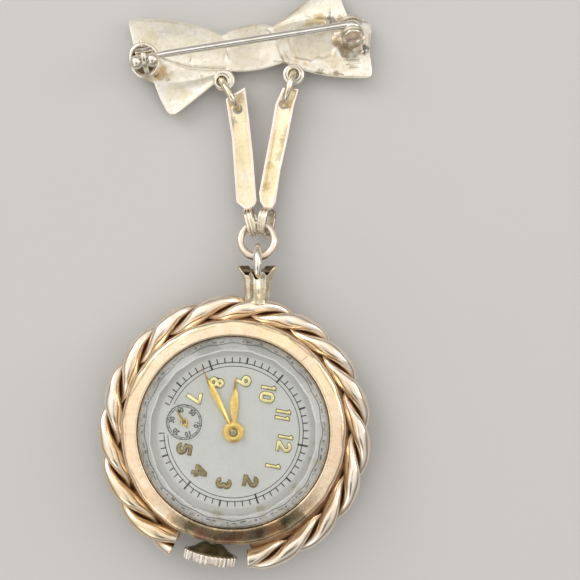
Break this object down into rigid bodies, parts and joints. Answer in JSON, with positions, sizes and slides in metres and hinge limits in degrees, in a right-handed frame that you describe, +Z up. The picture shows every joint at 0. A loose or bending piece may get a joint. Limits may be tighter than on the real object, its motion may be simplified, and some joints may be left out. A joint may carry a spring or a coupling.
{
  "type": "chatelaine watch pin",
  "caption": "Bow brooch seen from its back, with a pin and catch, two jointed bars and a ring chain that carry a small pendant watch with a twisted rope rim and a winding crown.",
  "frame": {"origin": "centre of the watch case's back face, on the plane that the piece rests on", "axes": "+Z up from the resting plane, out through the dial; +Y from the watch up the chain to the bow; +X to the right as seen from the dial side"},
  "size_m": [0.0242, 0.0519, 0.0073],
  "materials": {
    "pale_gilt": "polished, lightly tarnished",
    "yellow_gold_fill": "polished",
    "rose_gold_fill": "polished",
    "copper_gold": "worn",
    "plated_steel": "satin",
    "silvered_dial": "matt silvered",
    "gilt_hands": "polished",
    "bronze_numerals": "polished",
    "clear_crystal": "clear, bevelled edge"
  },
  "bodies": {
    "main": {"bow_brooch": "pale_gilt", "hinge_rivet": "copper_gold", "upper_ring_left": "yellow_gold_fill", "upper_ring_right": "yellow_gold_fill", "bar_left": "yellow_gold_fill", "bar_right": "yellow_gold_fill", "main_ring": "pale_gilt", "bail": "pale_gilt", "pendant_cap": "pale_gilt", "case_back": "rose_gold_fill", "case_middle": "rose_gold_fill", "movement": "plated_steel", "dial": "silvered_dial", "bezel": "rose_gold_fill", "crystal": "clear_crystal", "rope_strand_1": "rose_gold_fill", "rope_strand_2": "rose_gold_fill", "numeral_1": "gilt_hands", "numeral_2": "bronze_numerals", "numeral_3": "bronze_numerals", "numeral_4": "bronze_numerals", "numeral_5": "bronze_numerals", "numeral_7": "gilt_hands", "numeral_8": "gilt_hands", "numeral_9": "gilt_hands", "numeral_10_one": "gilt_hands", "numeral_10_zero": "gilt_hands", "numeral_11_first": "gilt_hands", "numeral_11_second": "gilt_hands", "numeral_12_one": "gilt_hands", "numeral_12_two": "gilt_hands"},
    "pin": {"pin_stem": "pale_gilt"},
    "roller": {"catch_roller": "pale_gilt"},
    "stem": {"crown_stem": "plated_steel"},
    "crown": {"crown": "pale_gilt"},
    "hour_hand": {"hour_hand": "gilt_hands"},
    "minute_hand": {"minute_hand": "gilt_hands"},
    "seconds_hand": {"seconds_hand": "gilt_hands"}
  },
  "joints": [
    {"name": "pin_hinge", "type": "hinge", "parent": "main", "child": "pin", "pos_m": [0.01033, 0.03543, 0.00284], "axis": [-0.1281, 0.8091, -0.5736], "range_deg": [0, 110]},
    {"name": "catch_turn", "type": "hinge", "parent": "main", "child": "roller", "pos_m": [-0.00795, 0.0329, 0.00335], "axis": [0.9877, 0.1564, 0], "range_deg": [0, 110]},
    {"name": "stem_pull", "type": "slide", "parent": "main", "child": "stem", "axis": [-0.1908, -0.9816, 0], "range_m": [0, 0.0008]},
    {"name": "crown_turn", "type": "hinge", "parent": "stem", "child": "crown", "pos_m": [0, 0, 0.0029], "axis": [-0.1908, -0.9816, 0], "continuous": true},
    {"name": "minute_turn", "type": "hinge", "parent": "main", "child": "minute_hand", "pos_m": [0, 0, 0.0053], "axis": [0, 0, -1], "continuous": true},
    {"name": "hour_turn", "type": "hinge", "parent": "main", "child": "hour_hand", "pos_m": [0, 0, 0.0053], "axis": [0, 0, -1], "continuous": true},
    {"name": "seconds_turn", "type": "hinge", "parent": "main", "child": "seconds_hand", "pos_m": [-0.0043, 0.00085, 0.0053], "axis": [0, 0, -1], "continuous": true}
  ],
  "couplings": [
    {"joint": "hour_turn", "follows": "minute_turn", "ratio": 0.083333}
  ]
}
